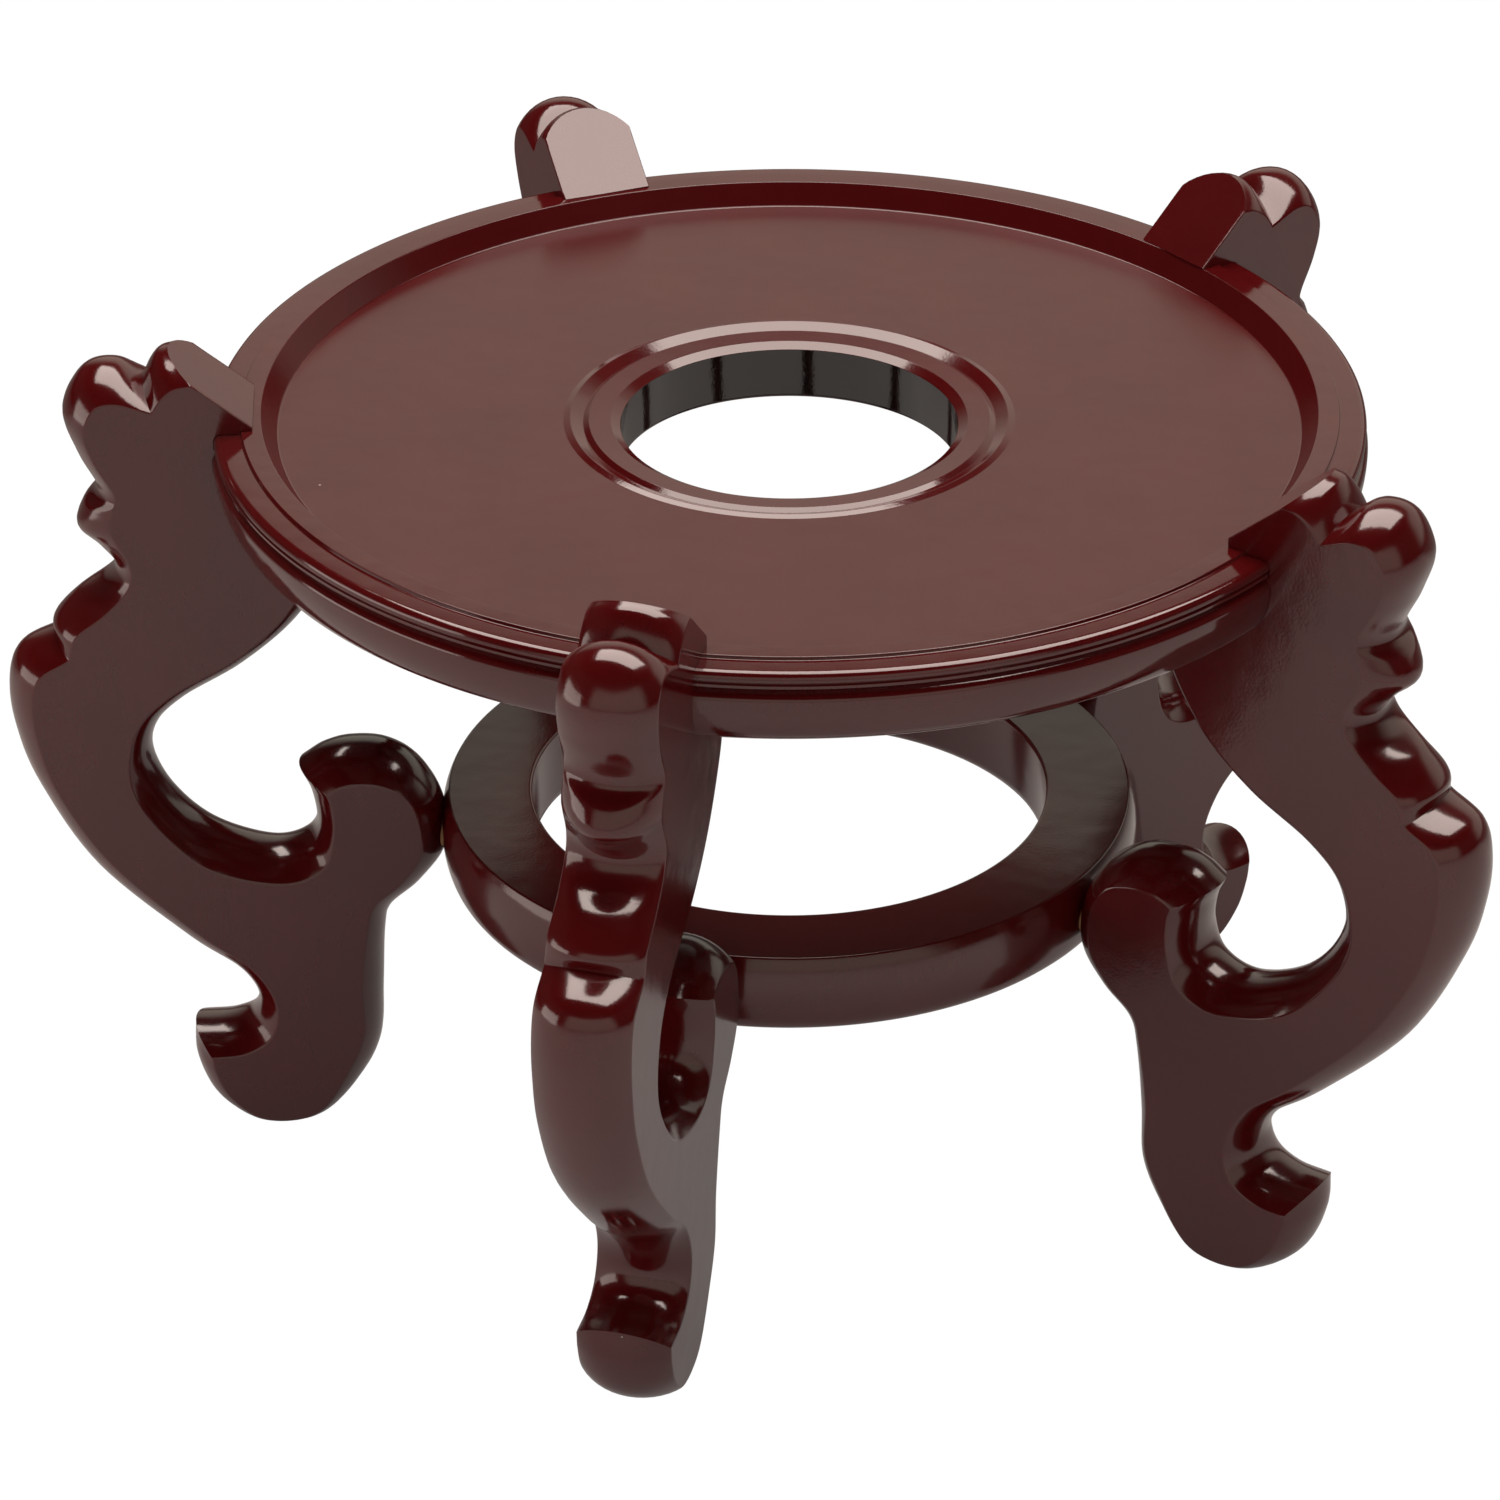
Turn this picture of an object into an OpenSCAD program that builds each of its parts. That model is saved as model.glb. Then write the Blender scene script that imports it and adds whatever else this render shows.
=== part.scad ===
// Round hardwood bowl stand: a turned seat disc and a lower ring, held by five sawn scroll legs.
// Millimetres, +Z up, origin on the floor under the centre of the seat, first leg towards -Y.

/* [Seat disc] */
// Widest diameter of the seat disc
disc_d = 263; // [245:1:285]
// Height of the rim's top above the floor
rim_h = 187.5; // [180:0.5:195]
// Thickness of the disc from rim top to underside
disc_t = 19; // [17:0.5:21]
// Depth of the seat below the rim top
seat_depth = 5; // [4:0.5:7]
// Width of the rim from the seat floor's edge to the widest edge
rim_w = 15; // [14:0.5:18]
// How far the rim's inner wall leans outwards
rim_lean = 3.5; // [2:0.5:4.5]
// Diameter of the hole through the seat
hole_d = 77; // [60:1:90]
// Radius of the rounded lip of the hole
hole_lip = 3; // [1:0.5:4]
// Diameter of the turned groove round the hole
groove_d = 95; // [92:1:110]
// Width of the turned groove
groove_w = 5.5; // [3:0.5:7]
// Depth of the turned groove
groove_depth = 1.5; // [0.5:0.25:2.5]

/* [Legs] */
// Thickness of the plank the legs are sawn from
leg_t = 22; // [18:1:25]
// How far the rounded edges stand out past the flat faces
edge_round = 5.5; // [3:0.5:6]
// Distance of the foot from the centre
foot_r = 121.5; // [112:0.5:128]

/* [Lower ring] */
// Widest diameter of the ring
ring_d = 164; // [155:1:175]
// Width of the ring's wood
ring_w = 21.5; // [18:0.5:26]
// Thickness of the ring
ring_t = 20; // [18:0.5:24]
// Height of the ring's top above the floor
ring_h = 86.5; // [82:0.5:91]

/* [Dowels] */
// Diameter of the hidden dowels
dowel_d = 8; // [6:0.5:9]
// Length of a dowel
dowel_l = 24; // [18:1:26]
// Gap between glued faces
glue_gap = 0.25; // [0.1:0.05:0.4]

/* [Hidden] */
$fn = 96;
leg_count = 5;
first_leg_angle = -90;
disc_r = disc_d / 2;
disc_under_h = rim_h - disc_t;
seat_h = rim_h - seat_depth;
seat_r = disc_r - rim_w;
hole_r = hole_d / 2;
ring_r = ring_d / 2;
ring_in_r = ring_r - ring_w;
ring_mid_h = ring_h - ring_t / 2;
dowel_r = dowel_d / 2;
bore_r = dowel_r + glue_gap;
// A blind bore is a little longer than its half of the dowel
bore_spare = 1;
// The rim dowels lie in the middle of the wood under the seat floor
rim_dowel_h = (seat_h + disc_under_h) / 2;
// Cutting bodies run past the wood by this much
past = 10;

wood = [0.27, 0.11, 0.10];
dowel_wood = [0.62, 0.47, 0.32];

function arc(center, rx, ry, from, to, steps) =
    [for (i = [0 : steps]) let (a = from + (to - from) * i / steps)
        center + [rx * cos(a), ry * sin(a)]];

function leg_angle(i) = first_leg_angle + (i - 1) * 360 / leg_count;

// Seat disc
// The rim's top steps down outwards, to a small roll, a fillet between two notches and a large roll below.
step_r = disc_r - 7.5;
step_h = rim_h - 0.7;
small_roll = 1.5;
small_roll_r = disc_r - 0.5;
roll_side = 1.4;
roll_side_h = step_h - small_roll - roll_side;
fillet_h = 0.7;
notch = 0.5;
large_roll_w = 6.5;
large_roll_h = rim_h - 10.5;
// The large roll is an oval, taller above its widest line than below it
large_roll_up = 12;
large_roll_top = 23;

function rim_edge() = concat(
    [[seat_r, seat_h],
     [seat_r + rim_lean, rim_h]],
    rim_top(0),
    [[small_roll_r, roll_side_h],
     [small_roll_r - notch, roll_side_h - notch],
     [small_roll_r, roll_side_h - 2 * notch],
     [small_roll_r, roll_side_h - 2 * notch - fillet_h],
     [small_roll_r - notch, roll_side_h - 3 * notch - fillet_h]],
    large_roll(0));

// The step and the small roll, grown by a gap for the legs' notches
function rim_top(gap) = concat(
    [[step_r + gap, rim_h + gap],
     [step_r + gap, step_h + gap]],
    arc([small_roll_r - small_roll, step_h - small_roll], small_roll + gap, small_roll + gap, 90, 0, 6));

// The large roll from its top arris down to the underside, grown by a gap for the legs' notches
function large_roll(gap) = let (middle = [disc_r - large_roll_w, large_roll_h]) concat(
    arc(middle, large_roll_w + gap, large_roll_up + gap, large_roll_top, 0, 4),
    arc(middle, large_roll_w + gap, large_roll_h - disc_under_h + gap, -11.25, -90, 7));

module disc_blank() {
    rotate_extrude()
        polygon(concat(
            [[hole_r, disc_under_h]],
            arc([hole_r + hole_lip, seat_h - hole_lip], hole_lip, hole_lip, 180, 90, 6),
            [[groove_d / 2 - groove_w / 2, seat_h],
             [groove_d / 2, seat_h - groove_depth],
             [groove_d / 2 + groove_w / 2, seat_h]],
            rim_edge()));
}

// What a leg's notch leaves free for the rim
module disc_room() {
    rotate_extrude()
        polygon(concat(
            [[seat_r / 2, disc_under_h - glue_gap],
             [seat_r / 2, rim_h + glue_gap]],
            rim_top(glue_gap),
            large_roll(glue_gap)));
}

// Lower ring
// The ring is widest a little above its middle
ring_bulge_h = ring_mid_h + 1;
ring_crown = 1.8;
ring_foot_in = 3.5;
ring_bottom_h = ring_h - ring_t;

function ring_outline(gap) = concat(
    [[ring_in_r - gap, ring_h + gap],
     [ring_r - ring_crown + gap, ring_h + gap]],
    arc([ring_r - ring_foot_in, ring_bulge_h], ring_foot_in + gap, ring_t / 2 + gap, 60, -90, 10),
    arc([ring_in_r + ring_foot_in, ring_bottom_h + ring_foot_in],
        ring_foot_in + gap, ring_foot_in + gap, 270, 180, 5));

module ring_blank(gap) {
    rotate_extrude()
        polygon(ring_outline(gap));
}

// Dowels and their bores, lying along +X from the centre of the stand
module rim_dowel_along(radius, spare) {
    translate([disc_r - dowel_l / 2 - spare, 0, rim_dowel_h])
        rotate([0, 90, 0]) cylinder(r = radius, h = dowel_l + 2 * spare);
}

module ring_dowel_along(radius, spare) {
    translate([ring_r - dowel_l / 2 - spare, 0, ring_mid_h])
        rotate([0, 90, 0]) cylinder(r = radius, h = dowel_l + 2 * spare);
}

// Legs
// Each row is a point of the leg's outline as drawn, by distance from the centre and height:
// the part of the stand it moves with, the crest of the rounded edge, the edge of the flat face,
// and whether the outline turns sharply there.
RIM = 0;
BELLY = 1;
FOOT = 2;
KNEE = 3;
SHARP = true;
SOFT = false;
leg_points = [
    // Jaw over the rim, with a flat slope towards the seat
    [RIM, 121.5, 185.3, 121.5, 185.3, SHARP],
    [RIM, 140.0, 200.5, 134.5, 196.0, SHARP],
    [RIM, 143.5, 196.5, 140.5, 193.5, SOFT],
    [RIM, 146.0, 191.0, 144.0, 189.5, SHARP],
    // Knob
    [RIM, 152.0, 198.0, 152.0, 192.0, SOFT],
    [RIM, 159.5, 196.0, 157.0, 190.5, SOFT],
    [RIM, 164.5, 187.0, 159.5, 184.5, SOFT],
    [RIM, 162.0, 177.0, 157.5, 177.0, SOFT],
    [RIM, 158.0, 167.5, 153.5, 169.0, SOFT],
    // Bead
    [RIM, 161.5, 162.5, 154.0, 165.0, SOFT],
    [RIM, 163.0, 157.0, 155.0, 160.5, SOFT],
    [RIM, 158.5, 152.5, 154.0, 157.0, SOFT],
    [RIM, 155.0, 147.5, 151.0, 150.0, SOFT],
    // Lobe, ended by a carved cut
    [RIM, 158.0, 142.0, 152.0, 144.5, SOFT],
    [RIM, 164.5, 138.5, 157.5, 138.0, SOFT],
    [RIM, 170.0, 132.5, 164.5, 132.5, SOFT],
    [RIM, 169.5, 128.5, 166.5, 126.5, SHARP],
    // Belly
    [BELLY, 176.5, 127.0, 172.0, 123.5, SOFT],
    [BELLY, 179.5, 119.5, 174.0, 116.0, SOFT],
    [BELLY, 179.0, 107.5, 173.0, 105.5, SOFT],
    [BELLY, 174.5, 92.0, 169.0, 92.0, SOFT],
    [BELLY, 162.5, 69.5, 158.0, 73.0, SOFT],
    [BELLY, 142.5, 49.0, 139.5, 53.5, SOFT],
    // Hook and toe
    [FOOT, 129.0, 41.5, 125.5, 45.0, SOFT],
    [FOOT, 124.5, 33.0, 120.0, 34.5, SOFT],
    [FOOT, 126.5, 26.5, 121.5, 25.5, SOFT],
    [FOOT, 132.5, 24.5, 127.5, 21.0, SOFT],
    [FOOT, 140.0, 24.5, 136.0, 20.0, SHARP],
    // Foot
    [FOOT, 140.0, 16.0, 135.0, 15.0, SOFT],
    [FOOT, 136.0, 6.0, 132.0, 8.5, SOFT],
    [FOOT, 127.5, -0.5, 125.5, 2.5, SOFT],
    [FOOT, 117.5, -1.5, 117.0, 1.5, SOFT],
    [FOOT, 108.0, 1.0, 110.0, 4.5, SOFT],
    [FOOT, 100.0, 10.0, 104.0, 14.0, SOFT],
    [FOOT, 95.5, 20.0, 99.5, 25.0, SOFT],
    [FOOT, 94.5, 34.0, 99.5, 38.5, SOFT],
    // Knee against the lower ring
    [KNEE, 96.5, 46.5, 100.5, 51.0, SOFT],
    [KNEE, 94.5, 54.0, 98.5, 58.0, SOFT],
    [KNEE, 87.0, 61.0, 92.0, 64.0, SOFT],
    [KNEE, 81.0, 70.0, 87.0, 72.0, SOFT],
    [KNEE, 81.5, 81.0, 87.5, 82.0, SOFT],
    [KNEE, 86.5, 90.5, 91.0, 88.5, SOFT],
    [KNEE, 94.0, 96.0, 96.5, 91.0, SOFT],
    [KNEE, 102.5, 97.0, 102.5, 91.5, SOFT],
    // Beak
    [KNEE, 109.5, 95.5, 106.0, 90.5, SOFT],
    [KNEE, 115.0, 92.0, 108.5, 89.0, SHARP],
    [KNEE, 112.5, 86.0, 107.5, 85.0, SOFT],
    [KNEE, 111.5, 77.0, 107.5, 77.5, SOFT],
    // Open curve behind the belly
    [KNEE, 115.0, 72.0, 110.5, 68.5, SOFT],
    [KNEE, 123.5, 70.5, 120.0, 65.0, SOFT],
    [BELLY, 135.0, 78.0, 135.0, 70.5, SOFT],
    [BELLY, 143.5, 87.5, 147.0, 82.5, SOFT],
    [BELLY, 147.5, 98.5, 152.5, 94.5, SOFT],
    [BELLY, 145.5, 107.5, 150.5, 108.5, SOFT],
    [BELLY, 138.5, 114.5, 142.0, 118.0, SOFT],
    // Lobe up to the disc's underside
    [RIM, 126.5, 121.0, 128.5, 125.0, SOFT],
    [RIM, 113.5, 132.5, 117.0, 135.5, SOFT],
    [RIM, 104.5, 147.0, 108.5, 149.5, SOFT],
    [RIM, 102.0, 160.0, 106.0, 160.0, SHARP],
    // Hidden inside the notch for the disc
    [RIM, 102.0, 168.0, 106.0, 168.0, SHARP],
    [RIM, 121.5, 176.0, 121.5, 176.0, SHARP]];

// The sizes the outline is drawn for
drawn_disc_r = 131.5;
drawn_disc_under_h = 164.5;
drawn_round = 5.5;
drawn_ring_r = 81.5;
drawn_ring_mid_h = 73.25;
drawn_foot_r = 118;

// How far each part of the outline moves when the stand's sizes change
rim_move = [disc_r - drawn_disc_r, disc_under_h - drawn_disc_under_h];
knee_move = [ring_r - drawn_ring_r, ring_mid_h - drawn_ring_mid_h];
foot_move = [foot_r - drawn_foot_r, 0];
moves = [rim_move, (rim_move + foot_move) / 2, foot_move, knee_move];

point_count = len(leg_points);

function row(i) = leg_points[(i + point_count) % point_count];
function is_sharp(i) = row(i)[5];

// Crest and face edge of a row together, as four numbers
function placed(i) = let (
        p = row(i),
        crest = [p[1], p[2]] + moves[p[0]],
        inset = ([p[3], p[4]] - [p[1], p[2]]) * edge_round / drawn_round)
    concat(crest, crest + inset);
function slope_at(i) = (placed(i + 1) - placed(i - 1)) / 2;
function slope_out(i) = is_sharp(i) ? placed(i + 1) - placed(i) : slope_at(i);
function slope_in(i) = is_sharp(i) ? placed(i) - placed(i - 1) : slope_at(i);

// A smooth curve from row i to the next, with u from 0 to 1
function between(i, u) =
    placed(i) * (1 - 3 * u * u + 2 * u * u * u)
    + placed(i + 1) * (3 * u * u - 2 * u * u * u)
    + slope_out(i) * (u - 2 * u * u + u * u * u)
    + slope_in(i + 1) * (u * u * u - u * u);

curve_steps = 2;
function steps_from(i) = is_sharp(i) && is_sharp(i + 1) ? 1 : curve_steps;
outline = [for (i = [0 : point_count - 1]) for (j = [0 : steps_from(i) - 1])
    between(i, j / steps_from(i))];
outline_count = len(outline);

// The rounded edge is an arc across the thickness, from one flat face to the other
layers = 6;
half_t = leg_t / 2;
half_angle = 2 * atan(edge_round / half_t);
function layer_angle(k) = half_angle * (2 * k / layers - 1);
function layer_y(k) = half_t * sin(layer_angle(k)) / sin(half_angle);
function layer_inset(k) = (1 - cos(layer_angle(k))) / (1 - cos(half_angle));
function layer_points(k) = let (w = layer_inset(k))
    [for (p = outline) [p[0] + (p[2] - p[0]) * w, layer_y(k), p[1] + (p[3] - p[1]) * w]];

// Triangles of a flat face: ears are cut off the clockwise outline one by one
face_points = [for (p = outline) [p[2], p[3]]];
function turn(a, b, c) = (b[0] - a[0]) * (c[1] - a[1]) - (b[1] - a[1]) * (c[0] - a[0]);
function inside(p, a, b, c) = turn(a, b, p) < 0 && turn(b, c, p) < 0 && turn(c, a, p) < 0;
function corner(loop, k) = let (n = len(loop)) [loop[(k + n - 1) % n], loop[k], loop[(k + 1) % n]];
function is_ear(loop, k) = let (
        ids = corner(loop, k),
        a = face_points[ids[0]],
        b = face_points[ids[1]],
        c = face_points[ids[2]])
    turn(a, b, c) < 0 && len([for (m = loop) if (inside(face_points[m], a, b, c)) m]) == 0;
function first_ear(loop, k) = k >= len(loop) - 1 || is_ear(loop, k) ? k : first_ear(loop, k + 1);
function clip_ears(loop) = len(loop) == 3 ? [loop] : let (k = first_ear(loop, 0)) concat(
    [corner(loop, k)],
    clip_ears([for (m = [0 : len(loop) - 1]) if (m != k) loop[m]]));

module leg_blank() {
    front_face = clip_ears([for (i = [0 : outline_count - 1]) i]);
    last = layers * outline_count;
    back_face = [for (f = front_face) [f[0] + last, f[2] + last, f[1] + last]];
    sides = [for (k = [0 : layers - 1]) for (i = [0 : outline_count - 1]) let (
            next = (i + 1) % outline_count,
            near = k * outline_count,
            far = near + outline_count)
        each [[near + i, far + i, far + next], [near + i, far + next, near + next]]];
    polyhedron(points = [for (k = [0 : layers]) each layer_points(k)],
               faces = concat(front_face, sides, back_face));
}

module leg(i) {
    rotate([0, 0, leg_angle(i)])
        difference() {
            leg_blank();
            disc_room();
            ring_blank(glue_gap);
            rim_dowel_along(bore_r, bore_spare);
            ring_dowel_along(bore_r, bore_spare);
            translate([0, -leg_t, -past])
                cube([disc_d, 2 * leg_t, past]);
        }
}

// The pieces of the stand
module seat_disc() {
    color(wood)
        difference() {
            disc_blank();
            for (i = [1 : leg_count])
                rotate([0, 0, leg_angle(i)]) rim_dowel_along(bore_r, bore_spare);
        }
}

module lower_ring() {
    color(wood)
        difference() {
            ring_blank(0);
            for (i = [1 : leg_count])
                rotate([0, 0, leg_angle(i)]) ring_dowel_along(bore_r, bore_spare);
        }
}

module rim_dowel(i) {
    color(dowel_wood)
        rotate([0, 0, leg_angle(i)]) rim_dowel_along(dowel_r, 0);
}

module ring_dowel(i) {
    color(dowel_wood)
        rotate([0, 0, leg_angle(i)]) ring_dowel_along(dowel_r, 0);
}

module leg_1() { color(wood) leg(1); }
module leg_2() { color(wood) leg(2); }
module leg_3() { color(wood) leg(3); }
module leg_4() { color(wood) leg(4); }
module leg_5() { color(wood) leg(5); }

seat_disc();
lower_ring();
leg_1();
leg_2();
leg_3();
leg_4();
leg_5();
rim_dowel(1);  // rim_dowel_1
rim_dowel(2);  // rim_dowel_2
rim_dowel(3);  // rim_dowel_3
rim_dowel(4);  // rim_dowel_4
rim_dowel(5);  // rim_dowel_5
ring_dowel(1);  // ring_dowel_1
ring_dowel(2);  // ring_dowel_2
ring_dowel(3);  // ring_dowel_3
ring_dowel(4);  // ring_dowel_4
ring_dowel(5);  // ring_dowel_5
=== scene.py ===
"""Round hardwood bowl stand: a turned seat disc and a lower ring, held by five sawn scroll legs."""

import math

import bmesh
import bpy
from mathutils import Matrix, Vector
from mathutils.geometry import interpolate_bezier


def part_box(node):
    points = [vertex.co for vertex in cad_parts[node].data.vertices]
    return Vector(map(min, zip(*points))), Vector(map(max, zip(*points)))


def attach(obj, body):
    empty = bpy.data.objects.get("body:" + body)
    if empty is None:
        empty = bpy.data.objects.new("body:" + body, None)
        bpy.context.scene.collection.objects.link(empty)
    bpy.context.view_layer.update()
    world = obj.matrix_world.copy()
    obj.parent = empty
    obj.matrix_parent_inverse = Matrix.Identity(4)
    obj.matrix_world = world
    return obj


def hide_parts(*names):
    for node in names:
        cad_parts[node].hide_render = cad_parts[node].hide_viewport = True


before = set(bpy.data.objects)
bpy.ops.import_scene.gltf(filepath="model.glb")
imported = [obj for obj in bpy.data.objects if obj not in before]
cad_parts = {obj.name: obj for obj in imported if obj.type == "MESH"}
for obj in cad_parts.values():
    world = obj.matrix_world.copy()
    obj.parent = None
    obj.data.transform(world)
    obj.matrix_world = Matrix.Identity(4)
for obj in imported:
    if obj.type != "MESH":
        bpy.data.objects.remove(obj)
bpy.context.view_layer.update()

# Seat disc
# One board of hardwood turned on a lathe: a sunk seat with a leaning wall, a moulded rim, and a hole with a
# sloped lip and a groove round it. The legs' jaws grip its rim, and a dowel holds each leg to its edge.
MM = 0.001
LEG_ANGLES = [math.radians(-90 + 72 * i) for i in range(5)]

disc_low, disc_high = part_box("seat_disc")
disc_r = disc_high[0] / MM
rim_h = disc_high[2] / MM
disc_under_h = disc_low[2] / MM
seat_depth = 5
seat_h = rim_h - seat_depth
rim_w = 15
seat_r = disc_r - rim_w
wall_lean = 3.5
hole_r = 38.5
lip_w = 2.2
lip_drop = 1.6
groove_r = 47
groove_depth = 0.85
bead_r = 49.9
bead_rise = 0.45
step_r = disc_r - 6.7
step_h = rim_h - 0.8
small_roll_r = disc_r - 0.5
small_roll_h = rim_h - 0.85
small_roll_round = 1.7
notch_h = rim_h - 3.35
notch_depth = 0.6
fillet_r = small_roll_r - 0.1
fillet_low_h = rim_h - 4.5
large_roll_w = 6.5
large_roll_r = disc_r - large_roll_w
large_roll_h = rim_h - 7.6
large_roll_up = 3.3
large_roll_start = 47


def arc(center, across, up, start, end, steps):
    """Corners along an oval arc, with angles in degrees from straight outwards."""
    angles = [math.radians(start + (end - start) * i / steps) for i in range(steps + 1)]
    return [(center[0] + across * math.cos(a), center[1] + up * math.sin(a), 0) for a in angles]


def large_roll(upper_steps, lower_start, lower_steps, gap=0):
    """The large roll of the rim: an upper and a lower oval arc, grown by the gap."""
    center = (large_roll_r, large_roll_h)
    width = large_roll_w + gap
    lower = large_roll_h - disc_under_h + gap
    return (arc(center, width, large_roll_up + gap, large_roll_start, 0, upper_steps)
            + arc(center, width, lower, lower_start, -90, lower_steps))


def rounded(corners):
    """The outline through (radius, height, rounding) corners, each rounded by its own arc."""
    steps = 4
    points = []
    for i, (radius, height, rounding) in enumerate(corners):
        corner = Vector((radius, height))
        if not rounding:
            points.append(corner)
            continue
        back = (Vector(corners[i - 1][:2]) - corner).normalized()
        ahead = (Vector(corners[(i + 1) % len(corners)][:2]) - corner).normalized()
        half = back.angle(ahead) / 2
        reach = rounding / math.tan(half)
        handle = reach - rounding * 4 / 3 * math.tan((math.pi / 2 - half) / 2)
        points += interpolate_bezier(corner + back * reach, corner + back * handle,
                                     corner + ahead * handle, corner + ahead * reach, steps + 1)
    return points


def add_piece(name, bm):
    """A new object at the origin with the bmesh as its mesh."""
    bmesh.ops.remove_doubles(bm, verts=bm.verts, dist=1e-6)
    bmesh.ops.recalc_face_normals(bm, faces=bm.faces)
    mesh = bpy.data.meshes.new(name)
    bm.to_mesh(mesh)
    bm.free()
    piece = bpy.data.objects.new(name, mesh)
    bpy.context.scene.collection.objects.link(piece)
    return piece


def turn_on_lathe(name, outline, steps):
    """A solid of revolution from its outline in millimetres."""
    bm = bmesh.new()
    verts = [bm.verts.new((radius * MM, 0, height * MM)) for radius, height in outline]
    edges = [bm.edges.new((verts[i - 1], vert)) for i, vert in enumerate(verts)]
    bmesh.ops.spin(bm, geom=verts + edges, cent=(0, 0, 0), axis=(0, 0, 1), angle=math.tau,
                   steps=steps, use_merge=True)
    return add_piece(name, bm)


def carve(piece, *cutters):
    """Takes the shapes of the cutters out of the piece."""
    for cutter in cutters:
        cut = piece.modifiers.new("carve", "BOOLEAN")
        cut.operation = "DIFFERENCE"
        cut.solver = "EXACT"
        cut.object = cutter
        evaluated = piece.evaluated_get(bpy.context.evaluated_depsgraph_get())
        carved = bpy.data.meshes.new_from_object(evaluated)
        piece.modifiers.remove(cut)
        piece.data = carved
        carved.name = piece.name


def discard(*cutters):
    """Removes cutters that have done their work."""
    for cutter in cutters:
        bpy.data.objects.remove(cutter)


def dowel_bores(node, angles):
    """A cutter with one bore for each dowel like the given one, which lies along -Y."""
    side_gap = 0.25 * MM
    end_gap = 1.25 * MM
    low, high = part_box(node)
    radius = (high[2] - low[2]) / 2 + side_gap
    length = high[1] - low[1] + 2 * end_gap
    place = Matrix.Translation((low + high) / 2) @ Matrix.Rotation(math.pi / 2, 4, "X")
    bm = bmesh.new()
    for angle in angles:
        turn = Matrix.Rotation(angle - LEG_ANGLES[0], 4, "Z")
        bmesh.ops.create_cone(bm, cap_ends=True, segments=48, radius1=radius, radius2=radius,
                              depth=length, matrix=turn @ place)
    return add_piece(node + "_bores", bm)


def finish_surface(piece):
    """Smooth shading that keeps flat faces flat and real corners sharp."""
    sharp_angle = math.radians(34)
    piece.data.shade_smooth()
    piece.data.set_sharp_from_angle(angle=sharp_angle)
    weighted = piece.modifiers.new("weighted normals", "WEIGHTED_NORMAL")
    weighted.keep_sharp = True
    weighted.weight = 80


disc_outline = rounded([
    # Hole with a sloped lip
    (hole_r, disc_under_h, 1),
    (hole_r, seat_h - lip_drop, 0.15),
    (hole_r + lip_w, seat_h - 0.4, 0.3),
    # Groove with a small bead outside it
    (groove_r - 1.3, seat_h - 0.1, 0.3),
    (groove_r, seat_h - groove_depth, 0.15),
    (bead_r, seat_h + bead_rise, 0.35),
    (bead_r + 1.6, seat_h, 0.5),
    # Seat, leaning wall and flat rim top
    (seat_r, seat_h, 0.8),
    (seat_r + wall_lean, rim_h, 0.4),
    (step_r, rim_h, 0.25),
    # Low step and small roll
    (step_r, step_h, 0.4),
    (small_roll_r, small_roll_h, small_roll_round),
    (small_roll_r, notch_h + 0.35, 0.2),
    # Notch and fillet above the large roll
    (small_roll_r - notch_depth, notch_h, 0.1),
    (fillet_r, notch_h - 0.45, 0.2),
    (fillet_r, fillet_low_h, 0.2)]
    + large_roll(upper_steps=10, lower_start=-8, lower_steps=14))
seat_disc = turn_on_lathe("turned_seat_disc", disc_outline, 288)
disc_bores = dowel_bores("rim_dowel_1", LEG_ANGLES)
carve(seat_disc, disc_bores)
discard(disc_bores)
finish_surface(seat_disc)


def add_node(tree, kind, inputs=None, **settings):
    """A shader node with its settings, and with its inputs set or linked."""
    node = tree.nodes.new(kind)
    for name, value in settings.items():
        setattr(node, name, value)
    for name, value in (inputs or {}).items():
        if isinstance(value, bpy.types.NodeSocket):
            tree.links.new(value, node.inputs[name])
        else:
            node.inputs[name].default_value = value
    return node


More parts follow.
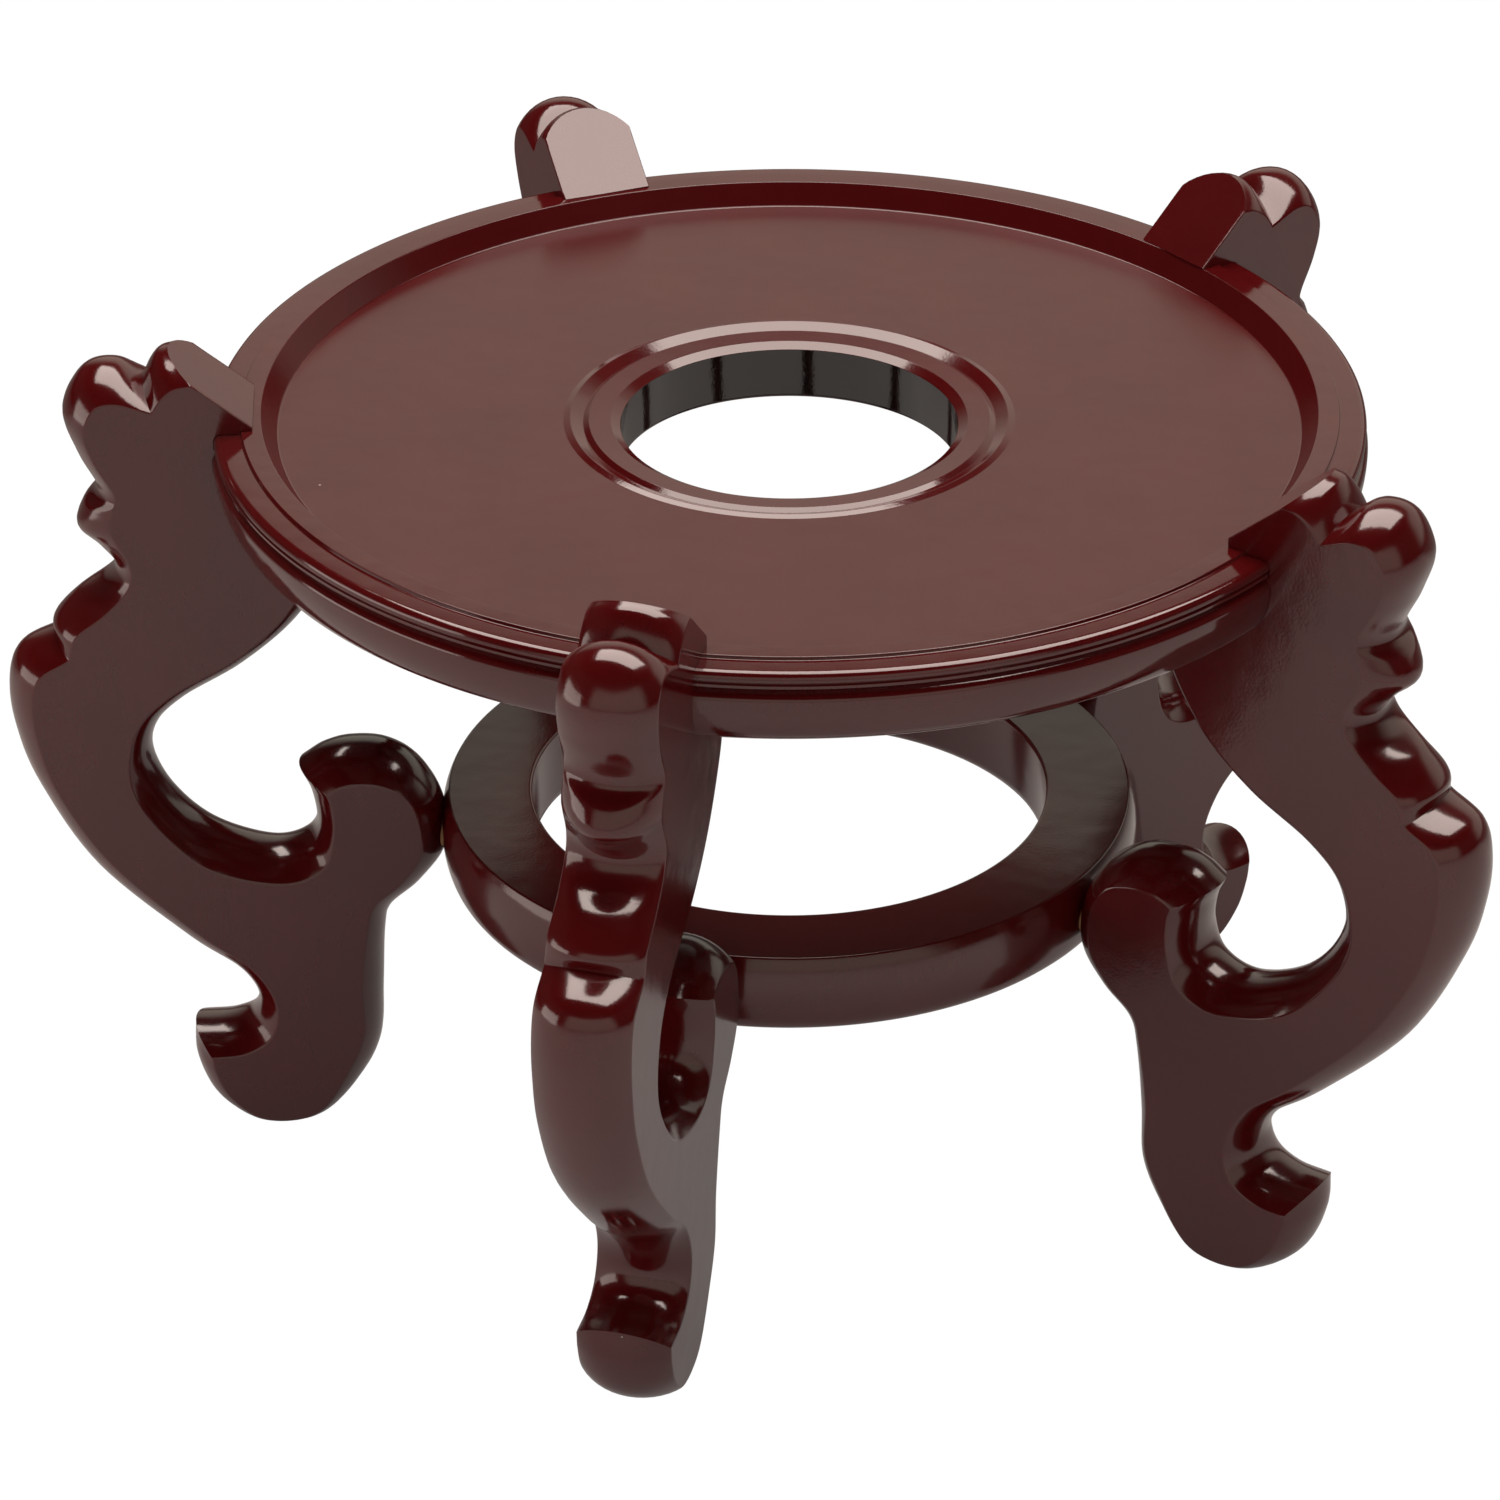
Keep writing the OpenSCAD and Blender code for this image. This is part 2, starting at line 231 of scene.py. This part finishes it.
def lacquered_wood(name, grain_size, grain_turn, peel_height, coat_roughness,
                   deep=(0.05, 0.0012, 0.0022, 1), thin=(0.085, 0.005, 0.0055, 1), coat=1):
    """Red-brown lacquer over wood: faint grain, cloudy depth, an uneven skin and specks of dust."""
    material = bpy.data.materials.new(name)
    material.use_nodes = True
    tree = material.node_tree
    shader = tree.nodes["Principled BSDF"]
    place = add_node(tree, "ShaderNodeTexCoord").outputs["Object"]

    along = add_node(tree, "ShaderNodeMapping", {
        "Vector": place, "Rotation": (0, 0, grain_turn), "Scale": grain_size}, vector_type="TEXTURE")
    grain = add_node(tree, "ShaderNodeTexNoise", {
        "Vector": along.outputs["Vector"], "Scale": 1, "Detail": 4, "Roughness": 0.6})
    cloud = add_node(tree, "ShaderNodeTexNoise", {"Vector": place, "Scale": 40, "Detail": 3})
    depth = add_node(tree, "ShaderNodeMix", {
        "Factor": 0.7, "A": grain.outputs["Fac"], "B": cloud.outputs["Fac"]})
    color = add_node(tree, "ShaderNodeMix", {
        "Factor": depth.outputs["Result"], "A": deep, "B": thin}, data_type="RGBA")

    # Dust: a few cells of the pattern hold a small round speck each
    specks = add_node(tree, "ShaderNodeTexVoronoi", {"Vector": place, "Scale": 130})
    chosen = add_node(tree, "ShaderNodeSeparateColor", {"Color": specks.outputs["Color"]})
    size = add_node(tree, "ShaderNodeMapRange", {
        "Value": chosen.outputs["Red"], "From Min": 0.93, "From Max": 1, "To Min": 0, "To Max": 0.06})
    dust = add_node(tree, "ShaderNodeMath", {
        0: specks.outputs["Distance"], 1: size.outputs["Result"]}, operation="LESS_THAN")
    dusty = add_node(tree, "ShaderNodeMix", {
        "Factor": dust.outputs["Value"], "A": color.outputs["Result"],
        "B": (0.5, 0.43, 0.4, 1)}, data_type="RGBA")
    tree.links.new(dusty.outputs["Result"], shader.inputs["Base Color"])

    # Heights in metres: a fine orange peel on long, shallow waves left by hand finishing
    peel = add_node(tree, "ShaderNodeTexNoise", {"Vector": place, "Scale": 1400, "Detail": 1})
    waves = add_node(tree, "ShaderNodeTexNoise", {"Vector": place, "Scale": 130, "Detail": 1})
    skin = add_node(tree, "ShaderNodeMath", {
        0: peel.outputs["Fac"], 1: peel_height}, operation="MULTIPLY")
    height = add_node(tree, "ShaderNodeMath", {
        0: waves.outputs["Fac"], 1: 0.00006, 2: skin.outputs["Value"]}, operation="MULTIPLY_ADD")
    bump = add_node(tree, "ShaderNodeBump", {
        "Height": height.outputs["Value"], "Strength": 1, "Distance": 1})
    tree.links.new(bump.outputs["Normal"], shader.inputs["Normal"])
    tree.links.new(bump.outputs["Normal"], shader.inputs["Coat Normal"])

    shader.inputs["Roughness"].default_value = 0.5
    shader.inputs["Specular IOR Level"].default_value = 0
    shader.inputs["Coat Weight"].default_value = coat
    shader.inputs["Coat IOR"].default_value = 1.7
    shader.inputs["Coat Roughness"].default_value = coat_roughness
    return material


# How far the photograph's right is turned from +X
PHOTO_TURN = math.radians(14.73)
board_grain = (0.002, 0.06, 0.02)
# The seat is rubbed to a satin, the mouldings are glossy, the wall of the hole is nearly black and the wall
# round the seat has little polish
SATIN, GLOSSY, BLACK, DULL = range(4)
disc_lacquers = [
    lacquered_wood("seat_lacquer", board_grain, PHOTO_TURN, peel_height=0.000008, coat_roughness=0.24),
    lacquered_wood("rim_lacquer", board_grain, PHOTO_TURN, peel_height=0.000008, coat_roughness=0.1),
    lacquered_wood("hole_lacquer", board_grain, PHOTO_TURN, peel_height=0.000012, coat_roughness=0.08,
                   deep=(0.004, 0.002, 0.002, 1), thin=(0.009, 0.004, 0.004, 1)),
    lacquered_wood("wall_lacquer", board_grain, PHOTO_TURN, peel_height=0.000008, coat_roughness=0.2,
                   coat=0.4)]
seat_disc.data.materials.clear()
for lacquer in disc_lacquers:
    seat_disc.data.materials.append(lacquer)
for face in seat_disc.data.polygons:
    radius = face.center.xy.length / MM
    height = face.center.z / MM
    level = face.normal.z > 0.99
    upright = abs(face.normal.z) < 0.5
    leaning = 0 < face.normal.z < 0.9
    if level and height < seat_h + 0.01:
        face.material_index = SATIN
    elif upright and radius < hole_r + 1:
        face.material_index = BLACK
    elif leaning and seat_r - 1 < radius < seat_r + 4:
        face.material_index = DULL
    else:
        face.material_index = GLOSSY
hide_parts("seat_disc")
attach(seat_disc, "root")

# Lower ring
# A flat hardwood ring turned from one board, with a bulging outer edge. It ties the knees of the legs
# together low down, where a dowel and glue hold each of them.
ring_low, ring_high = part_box("lower_ring")
ring_r = ring_high[0] / MM
ring_h = ring_high[2] / MM
ring_bottom_h = ring_low[2] / MM
ring_w = 21.5
ring_in_r = ring_r - ring_w
ring_top_r = ring_r - 1.8
ring_half_t = (ring_h - ring_bottom_h) / 2
ring_mid_h = ring_h - ring_half_t
bulge_w = 3.5
bulge_h = ring_mid_h + 1
bulge_start = 60


def ring_bulge(steps, gap=0):
    """The bulging outer edge of the ring: an oval arc, grown by the gap."""
    center = (ring_r - bulge_w, bulge_h)
    return arc(center, bulge_w + gap, ring_half_t + gap, bulge_start, -90, steps)


ring_outline = rounded([
    (ring_in_r, ring_bottom_h, 3.5),
    (ring_in_r, ring_h, 0.8),
    (ring_top_r, ring_h, 0.6)]
    + ring_bulge(steps=20))
lower_ring = turn_on_lathe("turned_lower_ring", ring_outline, 240)
ring_bores = dowel_bores("ring_dowel_1", LEG_ANGLES)
carve(lower_ring, ring_bores)
discard(ring_bores)
finish_surface(lower_ring)

lower_ring.data.materials.append(lacquered_wood(
    "ring_lacquer", grain_size=(0.002, 0.05, 0.02), grain_turn=PHOTO_TURN, peel_height=0.000012,
    coat_roughness=0.16))
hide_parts("lower_ring")
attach(lower_ring, "root")

# Legs
# Five hardwood planks sawn to one scroll outline and rounded by hand on their edges, with flat faces. A jaw
# grips the rim, a knee stands against the ring, and both places are notched to fit.
RIM, BELLY, FOOT, KNEE = range(4)
SHARP, SOFT = True, False
# Each row: the part of the stand it moves with, the crest of the rounded edge and the edge of the flat
# face by distance from the centre and height in millimetres, and whether the outline turns sharply there
leg_rows = [
    # Jaw over the rim, with a flat slope towards the seat
    (RIM, 121.5, 185.3, 121.5, 185.3, SHARP),
    (RIM, 140.0, 200.5, 134.5, 196.0, SHARP),
    (RIM, 142.5, 199.6, 138.0, 195.4, SOFT),
    (RIM, 144.4, 197.0, 141.5, 193.0, SOFT),
    (RIM, 146.0, 193.5, 144.0, 189.5, SHARP),
    # Knob
    (RIM, 152.0, 197.5, 152.0, 192.0, SOFT),
    (RIM, 159.5, 196.0, 157.0, 190.5, SOFT),
    (RIM, 164.5, 187.0, 159.5, 184.5, SOFT),
    (RIM, 162.0, 177.0, 157.5, 177.0, SOFT),
    (RIM, 158.0, 167.5, 153.5, 169.0, SOFT),
    # Bead
    (RIM, 161.5, 162.5, 154.0, 165.0, SOFT),
    (RIM, 163.0, 157.0, 155.0, 160.5, SOFT),
    (RIM, 158.5, 152.5, 154.0, 157.0, SOFT),
    (RIM, 155.0, 147.5, 151.0, 150.0, SOFT),
    # Lobe, ended by a carved cut
    (RIM, 158.0, 142.0, 152.0, 144.5, SOFT),
    (RIM, 164.5, 138.5, 157.5, 138.0, SOFT),
    (RIM, 170.0, 132.5, 164.5, 132.5, SOFT),
    (RIM, 169.5, 128.5, 166.5, 126.5, SHARP),
    # Belly
    (BELLY, 176.5, 127.0, 172.0, 123.5, SOFT),
    (BELLY, 179.5, 119.5, 174.0, 116.0, SOFT),
    (BELLY, 179.0, 107.5, 173.0, 105.5, SOFT),
    (BELLY, 174.5, 92.0, 169.0, 92.0, SOFT),
    (BELLY, 162.5, 69.5, 158.0, 73.0, SOFT),
    (BELLY, 142.5, 49.0, 139.5, 53.5, SOFT),
    # Hook and toe
    (FOOT, 129.0, 41.5, 125.5, 45.0, SOFT),
    (FOOT, 124.5, 33.0, 120.0, 34.5, SOFT),
    (FOOT, 126.5, 26.5, 121.5, 25.5, SOFT),
    (FOOT, 132.5, 24.5, 127.5, 21.0, SOFT),
    (FOOT, 140.0, 24.5, 136.0, 20.0, SHARP),
    # Foot
    (FOOT, 140.0, 16.0, 135.0, 15.0, SOFT),
    (FOOT, 136.0, 6.0, 132.0, 8.5, SOFT),
    (FOOT, 127.5, -0.5, 125.5, 2.5, SOFT),
    (FOOT, 117.5, -1.5, 117.0, 1.5, SOFT),
    (FOOT, 108.0, 1.0, 110.0, 4.5, SOFT),
    (FOOT, 100.0, 10.0, 104.0, 14.0, SOFT),
    (FOOT, 95.5, 20.0, 99.5, 25.0, SOFT),
    (FOOT, 94.5, 34.0, 99.5, 38.5, SOFT),
    # Knee against the lower ring
    (KNEE, 96.5, 46.5, 100.5, 51.0, SOFT),
    (KNEE, 94.5, 54.0, 98.5, 58.0, SOFT),
    (KNEE, 87.0, 61.0, 92.0, 64.0, SOFT),
    (KNEE, 81.0, 70.0, 87.0, 72.0, SOFT),
    (KNEE, 81.5, 81.0, 87.5, 82.0, SOFT),
    (KNEE, 86.5, 90.5, 91.0, 88.5, SOFT),
    (KNEE, 94.0, 96.0, 96.5, 91.0, SOFT),
    (KNEE, 102.5, 97.0, 102.5, 91.5, SOFT),
    # Beak
    (KNEE, 109.5, 95.5, 106.0, 90.5, SOFT),
    (KNEE, 115.0, 92.0, 108.5, 89.0, SHARP),
    (KNEE, 112.5, 86.0, 107.5, 85.0, SOFT),
    (KNEE, 111.5, 77.0, 107.5, 77.5, SOFT),
    # Open curve behind the belly
    (KNEE, 115.0, 72.0, 110.5, 68.5, SOFT),
    (KNEE, 123.5, 70.5, 120.0, 65.0, SOFT),
    (BELLY, 135.0, 78.0, 135.0, 70.5, SOFT),
    (BELLY, 143.5, 87.5, 147.0, 82.5, SOFT),
    (BELLY, 147.5, 98.5, 152.5, 94.5, SOFT),
    (BELLY, 145.5, 107.5, 150.5, 108.5, SOFT),
    (BELLY, 138.5, 114.5, 142.0, 118.0, SOFT),
    # Lobe up to the disc's underside
    (RIM, 126.5, 121.0, 128.5, 125.0, SOFT),
    (RIM, 113.5, 132.5, 117.0, 135.5, SOFT),
    (RIM, 104.5, 147.0, 108.5, 149.5, SOFT),
    (RIM, 102.0, 160.0, 106.0, 160.0, SHARP),
    # Hidden inside the notch for the disc
    (RIM, 102.0, 168.0, 106.0, 168.0, SHARP),
    (RIM, 121.5, 176.0, 121.5, 176.0, SHARP)]

# The disc and the ring that the rows are drawn for. The outline moves with the real ones, and the feet stand
# out a little more than drawn.
drawn_disc_r = 131.5
drawn_disc_under_h = 164.5
drawn_ring_r = 81.5
drawn_ring_mid_h = 73.25
foot_out = 3.5
rim_move = Vector((disc_r - drawn_disc_r, disc_under_h - drawn_disc_under_h))
knee_move = Vector((ring_r - drawn_ring_r, ring_mid_h - drawn_ring_mid_h))
foot_move = Vector((foot_out, 0))
moves = [rim_move, (rim_move + foot_move) / 2, foot_move, knee_move]

leg_half_t = 11
edge_round = 5.5
curve_steps = 8
layers = 14
glue_gap = 0.1
crease_bevel = 0.4


def smooth_loop(points, sharp):
    """A closed curve through the points, with a corner only at the sharp ones."""
    loop = []
    for i, point in enumerate(points):
        after = (i + 1) % len(points)
        beyond = (i + 2) % len(points)
        chord = points[after] - point
        leave = chord if sharp[i] else (points[after] - points[i - 1]) / 2
        arrive = chord if sharp[after] else (points[beyond] - point) / 2
        loop += interpolate_bezier(point, point + leave / 3, points[after] - arrive / 3,
                                   points[after], curve_steps + 1)[:-1]
    return loop


sharp_rows = [row[5] for row in leg_rows]
crest = smooth_loop([Vector(row[1:3]) + moves[row[0]] for row in leg_rows], sharp_rows)
face_edge = smooth_loop([Vector(row[3:5]) + moves[row[0]] for row in leg_rows], sharp_rows)
half_angle = 2 * math.atan(edge_round / leg_half_t)

# The rounded edge is an arc across the thickness, from one flat face to the other
bm = bmesh.new()
loops = []
for layer in range(layers + 1):
    angle = half_angle * (2 * layer / layers - 1)
    across = leg_half_t * math.sin(angle) / math.sin(half_angle)
    inset = (1 - math.cos(angle)) / (1 - math.cos(half_angle))
    points = [outer.lerp(inner, inset) for outer, inner in zip(crest, face_edge)]
    verts = [bm.verts.new((across * MM, -radius * MM, height * MM)) for radius, height in points]
    loops.append([bm.edges.new((verts[i - 1], vert)) for i, vert in enumerate(verts)])
for near, far in zip(loops, loops[1:]):
    bmesh.ops.bridge_loops(bm, edges=near + far)
for border in (loops[0], loops[-1]):
    bmesh.ops.contextual_create(bm, geom=border)
bmesh.ops.recalc_face_normals(bm, faces=bm.faces)
bmesh.ops.bevel(bm, geom=loops[0] + loops[-1], offset=crease_bevel * MM, offset_type="OFFSET",
                segments=2, profile=0.5, affect="EDGES", clamp_overlap=False, material=-1)
leg_blank = add_piece("leg_blank", bm)

# The room that the rim, the ring and the dowels take in a leg
rim_room = turn_on_lathe("rim_room", rounded([
    (seat_r / 2, disc_under_h - glue_gap, 0),
    (seat_r / 2, rim_h + glue_gap, 0),
    (step_r + glue_gap, rim_h + glue_gap, 0),
    (step_r + glue_gap, step_h + glue_gap, 0),
    (small_roll_r + glue_gap, small_roll_h + glue_gap, small_roll_round),
    (small_roll_r + glue_gap, fillet_low_h - glue_gap, 0)]
    + large_roll(upper_steps=4, lower_start=-11, lower_steps=7, gap=glue_gap)), 360)
ring_room = turn_on_lathe("ring_room", rounded([
    (ring_in_r, ring_bottom_h - glue_gap, 0),
    (ring_in_r, ring_h + glue_gap, 0),
    (ring_top_r + glue_gap, ring_h + glue_gap, 0.6)]
    + ring_bulge(steps=12, gap=glue_gap)), 300)
rim_bore = dowel_bores("rim_dowel_1", LEG_ANGLES[:1])
ring_bore = dowel_bores("ring_dowel_1", LEG_ANGLES[:1])

leg_lacquer = lacquered_wood(
    "leg_lacquer", grain_size=(0.003, 0.003, 0.06), grain_turn=0, peel_height=0.000012,
    coat_roughness=0.14)

# The legs were set by hand, each a little askew. Each row: how far the foot swings inwards and to the left
# about the rim, in degrees, and how far the whole leg stands outwards, up and to the right, in millimetres
leg_sets = [
    (-0.7, 1.3, -1.7, 0.8, 2.5),
    (-1.0, -0.3, -1.3, 0.4, -0.2),
    (-0.7, 1.3, -1.8, -1.7, 1.8),
    (1.3, 0.7, -0.3, -1.9, 0.3),
    (0.4, 1.3, 0.1, -0.8, -0.2)]
rim_joint = Vector((0, -disc_r, large_roll_h)) * MM
for number, (inwards, leftwards, out, up, right) in enumerate(leg_sets, start=1):
    swing_in = Matrix.Rotation(math.radians(inwards), 4, "X")
    swing_left = Matrix.Rotation(math.radians(leftwards), 4, "Y")
    setting = Matrix.Translation(rim_joint + Vector((right, -out, up)) * MM) @ swing_in @ swing_left
    bm = bmesh.new()
    bm.from_mesh(leg_blank.data)
    bmesh.ops.transform(bm, matrix=setting @ Matrix.Translation(-rim_joint), verts=bm.verts)
    leg = add_piece("scroll_leg_%d" % number, bm)
    carve(leg, rim_room, ring_room, rim_bore, ring_bore)

    # The foot is cut flat at the floor, and the leg goes to its place
    bm = bmesh.new()
    bm.from_mesh(leg.data)
    cut = bmesh.ops.bisect_plane(bm, geom=bm.verts[:] + bm.edges[:] + bm.faces[:], dist=1e-6,
                                 plane_co=(0, 0, 0), plane_no=(0, 0, 1), clear_inner=True)
    sole_edges = [item for item in cut["geom_cut"] if isinstance(item, bmesh.types.BMEdge)]
    bmesh.ops.holes_fill(bm, edges=sole_edges)
    bmesh.ops.recalc_face_normals(bm, faces=bm.faces)
    turn = Matrix.Rotation(LEG_ANGLES[number - 1] - LEG_ANGLES[0], 4, "Z")
    bmesh.ops.transform(bm, matrix=turn, verts=bm.verts)
    bm.to_mesh(leg.data)
    bm.free()

    finish_surface(leg)
    leg.data.materials.clear()
    leg.data.materials.append(leg_lacquer)
    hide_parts("leg_%d" % number)
    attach(leg, "root")
discard(leg_blank, rim_room, ring_room, rim_bore, ring_bore)

# Dowels
# Ten plain round dowels of pale wood, five in the edge of the disc and five in the edge of the ring. They
# are glued into their bores and stay hidden inside the joints.
dowel_material = bpy.data.materials.new("dowel_wood")
dowel_material.use_nodes = True
tree = dowel_material.node_tree
fibres = add_node(tree, "ShaderNodeTexNoise", {
    "Vector": add_node(tree, "ShaderNodeTexCoord").outputs["Object"], "Scale": 900, "Detail": 4})
dowel_color = add_node(tree, "ShaderNodeMix", {
    "Factor": fibres.outputs["Fac"], "A": (0.34, 0.18, 0.08, 1), "B": (0.5, 0.3, 0.15, 1)},
    data_type="RGBA")
tree.links.new(dowel_color.outputs["Result"], tree.nodes["Principled BSDF"].inputs["Base Color"])
tree.nodes["Principled BSDF"].inputs["Roughness"].default_value = 0.7
for name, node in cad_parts.items():
    if "dowel" in name:
        node.data.materials.clear()
        node.data.materials.append(dowel_material)

# Floor and light
# A white paper floor with painted shade towards the back, a large soft light overhead, a weaker upright one
# at the left and a faint fill from the front. The room is dark but for a pale backdrop behind the stand and
# a low pale screen behind the camera. Directions are given as the photograph sees them: right, away, up.


def studio(right, away, up):
    """A place or direction in the stand's frame."""
    return Matrix.Rotation(PHOTO_TURN, 3, "Z") @ Vector((right, away, up))


# The floor lies a hair below the soles, so that no two faces share a plane
floor_drop = 0.2
bm = bmesh.new()
bmesh.ops.create_grid(bm, x_segments=1, y_segments=1, size=4,
                      matrix=Matrix.Translation((0, 0, -floor_drop * MM)))
floor = add_piece("floor", bm)
floor_material = bpy.data.materials.new("floor_white")
floor_material.use_nodes = True
tree = floor_material.node_tree
shader = tree.nodes["Principled BSDF"]
# Paper colour with painted shade: darker towards the back, standing in for the dimmer light behind the stand
place = add_node(tree, "ShaderNodeTexCoord").outputs["Object"]
behind = add_node(tree, "ShaderNodeVectorMath", {0: place, 1: studio(0, 1, 0)}, operation="DOT_PRODUCT")
painted_shade_behind = add_node(tree, "ShaderNodeMapRange", {
    "Value": behind.outputs["Value"], "From Min": 0.1, "From Max": 0.35, "To Min": 0, "To Max": 1})
paper_and_painted_shade = add_node(tree, "ShaderNodeMix", {
    "Factor": painted_shade_behind.outputs["Result"], "A": (0.7, 0.68, 0.66, 1), "B": (0.21, 0.2, 0.19, 1)},
    data_type="RGBA")
tree.links.new(paper_and_painted_shade.outputs["Result"], shader.inputs["Base Color"])
shader.inputs["Roughness"].default_value = 0.9
shader.inputs["Specular IOR Level"].default_value = 0
# The camera sees it nearly pure white, and in the lacquer it glows a little
rays = add_node(tree, "ShaderNodeLightPath")
seen = rays.outputs["Is Camera Ray"]
white = add_node(tree, "ShaderNodeMix", {
    "Factor": seen, "A": paper_and_painted_shade.outputs["Result"], "B": (1, 1, 1, 1)}, data_type="RGBA")
glow = add_node(tree, "ShaderNodeEmission", {"Color": white.outputs["Result"], "Strength": 1.04})
mirrored = add_node(tree, "ShaderNodeMath", {
    0: rays.outputs["Is Glossy Ray"], 1: 0.3}, operation="MULTIPLY")
share = add_node(tree, "ShaderNodeMath", {
    0: seen, 1: 0.96, 2: mirrored.outputs["Value"]}, operation="MULTIPLY_ADD")
mixed = add_node(tree, "ShaderNodeMixShader", {
    "Fac": share.outputs["Value"], 1: shader.outputs["BSDF"], 2: glow.outputs["Emission"]})
# Seen from below, the floor is clear
clear = add_node(tree, "ShaderNodeBsdfTransparent")
below = add_node(tree, "ShaderNodeNewGeometry").outputs["Backfacing"]
one_sided = add_node(tree, "ShaderNodeMixShader", {
    "Fac": below, 1: mixed.outputs["Shader"], 2: clear.outputs["BSDF"]})
tree.links.new(one_sided.outputs["Shader"], tree.nodes["Material Output"].inputs["Surface"])
floor.data.materials.append(floor_material)


def add_softbox(name, place, width, height, glare, glow):
    """A soft light aimed at the stand: its glare in the lacquer and its glow on all else, in watts."""
    stand_middle = Vector((0, 0, 0.1))
    for part, power in (("glare", glare), ("glow", glow)):
        light = bpy.data.lights.new(name + "_" + part, "AREA")
        light.shape = "RECTANGLE"
        light.size = width
        light.size_y = height
        light.energy = power
        light.color = (1, 0.88, 0.81)
        softbox = bpy.data.objects.new(light.name, light)
        softbox.location = place
        softbox.rotation_euler = (stand_middle - place).to_track_quat("-Z", "Y").to_euler()
        softbox.visible_glossy = part == "glare"
        softbox.visible_diffuse = part == "glow"
        bpy.context.scene.collection.objects.link(softbox)


add_softbox("overhead_softbox", studio(0.1, 0.25, 1.35), width=1.6, height=1.05, glare=31, glow=26)
add_softbox("left_softbox", studio(-1.3, -0.25, 0.15), width=0.9, height=0.5, glare=3, glow=8)
add_softbox("front_fill", studio(0.2, -1.4, 0.7), width=1.2, height=0.8, glare=0, glow=4)

# The room that the lacquer mirrors
world = bpy.data.worlds.new("studio")
bpy.context.scene.world = world
world.use_nodes = True
tree = world.node_tree
ray = add_node(tree, "ShaderNodeTexCoord").outputs["Generated"]
upwards = add_node(tree, "ShaderNodeVectorMath", {0: ray, 1: (0, 0, 1)}, operation="DOT_PRODUCT")

# Pale backdrop behind the stand and to its right, dim at its top and along the floor
backwards = add_node(tree, "ShaderNodeVectorMath", {
    0: ray, 1: studio(0.5, 0.87, 0)}, operation="DOT_PRODUCT")
backdrop = add_node(tree, "ShaderNodeMapRange", {
    "Value": backwards.outputs["Value"], "From Min": 0.5, "From Max": 0.75, "To Min": 0.03,
    "To Max": 0.62})
backdrop_top = add_node(tree, "ShaderNodeMapRange", {
    "Value": upwards.outputs["Value"], "From Min": 0.45, "From Max": 0.6, "To Min": 1, "To Max": 0.1})
skirting = add_node(tree, "ShaderNodeMapRange", {
    "Value": upwards.outputs["Value"], "From Min": 0.02, "From Max": 0.12, "To Min": 0.1, "To Max": 1})
below_top = add_node(tree, "ShaderNodeMath", {
    0: backdrop.outputs["Result"], 1: backdrop_top.outputs["Result"]}, operation="MULTIPLY")
behind_stand = add_node(tree, "ShaderNodeMath", {
    0: below_top.outputs["Value"], 1: skirting.outputs["Result"]}, operation="MULTIPLY")

# Low pale screen behind the camera
forwards = add_node(tree, "ShaderNodeVectorMath", {0: ray, 1: studio(0, -1, 0)}, operation="DOT_PRODUCT")
screen = add_node(tree, "ShaderNodeMapRange", {
    "Value": forwards.outputs["Value"], "From Min": 0.6, "From Max": 0.72, "To Min": 0, "To Max": 0.5})
screen_top = add_node(tree, "ShaderNodeMapRange", {
    "Value": upwards.outputs["Value"], "From Min": 0.4, "From Max": 0.5, "To Min": 1, "To Max": 0})
room = add_node(tree, "ShaderNodeMath", {
    0: screen.outputs["Result"], 1: screen_top.outputs["Result"], 2: behind_stand.outputs["Value"]},
    operation="MULTIPLY_ADD")

# The camera itself sees plain white
seen = add_node(tree, "ShaderNodeLightPath").outputs["Is Camera Ray"]
strength = add_node(tree, "ShaderNodeMix", {"Factor": seen, "A": room.outputs["Value"], "B": 1})
warmth = add_node(tree, "ShaderNodeMix", {
    "Factor": seen, "A": (1, 0.94, 0.8, 1), "B": (1, 1, 1, 1)}, data_type="RGBA")
background = tree.nodes["Background"]
tree.links.new(warmth.outputs["Result"], background.inputs["Color"])
tree.links.new(strength.outputs["Result"], background.inputs["Strength"])

# Camera
# A long lens, looking down on the stand from a little to the right of the first leg, and held very slightly
# askew.
camera_data = bpy.data.cameras.new("camera")
camera_data.sensor_width = 36
camera_data.lens = 145
camera = bpy.data.objects.new("camera", camera_data)
rim_center = Vector((0, 0, rim_h * MM))
camera_distance = 1.377
camera_elevation = math.radians(25.91)
camera_heading = PHOTO_TURN + math.radians(0.425)
camera_tilt = math.radians(90 - 29.26)
camera_roll = math.radians(-0.18)
camera.location = rim_center + studio(
    0, -camera_distance * math.cos(camera_elevation), camera_distance * math.sin(camera_elevation))
camera.rotation_euler = (Matrix.Rotation(camera_heading, 3, "Z") @ Matrix.Rotation(camera_tilt, 3, "X")
                         @ Matrix.Rotation(camera_roll, 3, "Z")).to_euler()
bpy.context.scene.collection.objects.link(camera)
bpy.context.scene.camera = camera
bpy.context.scene.view_settings.view_transform = "Standard"
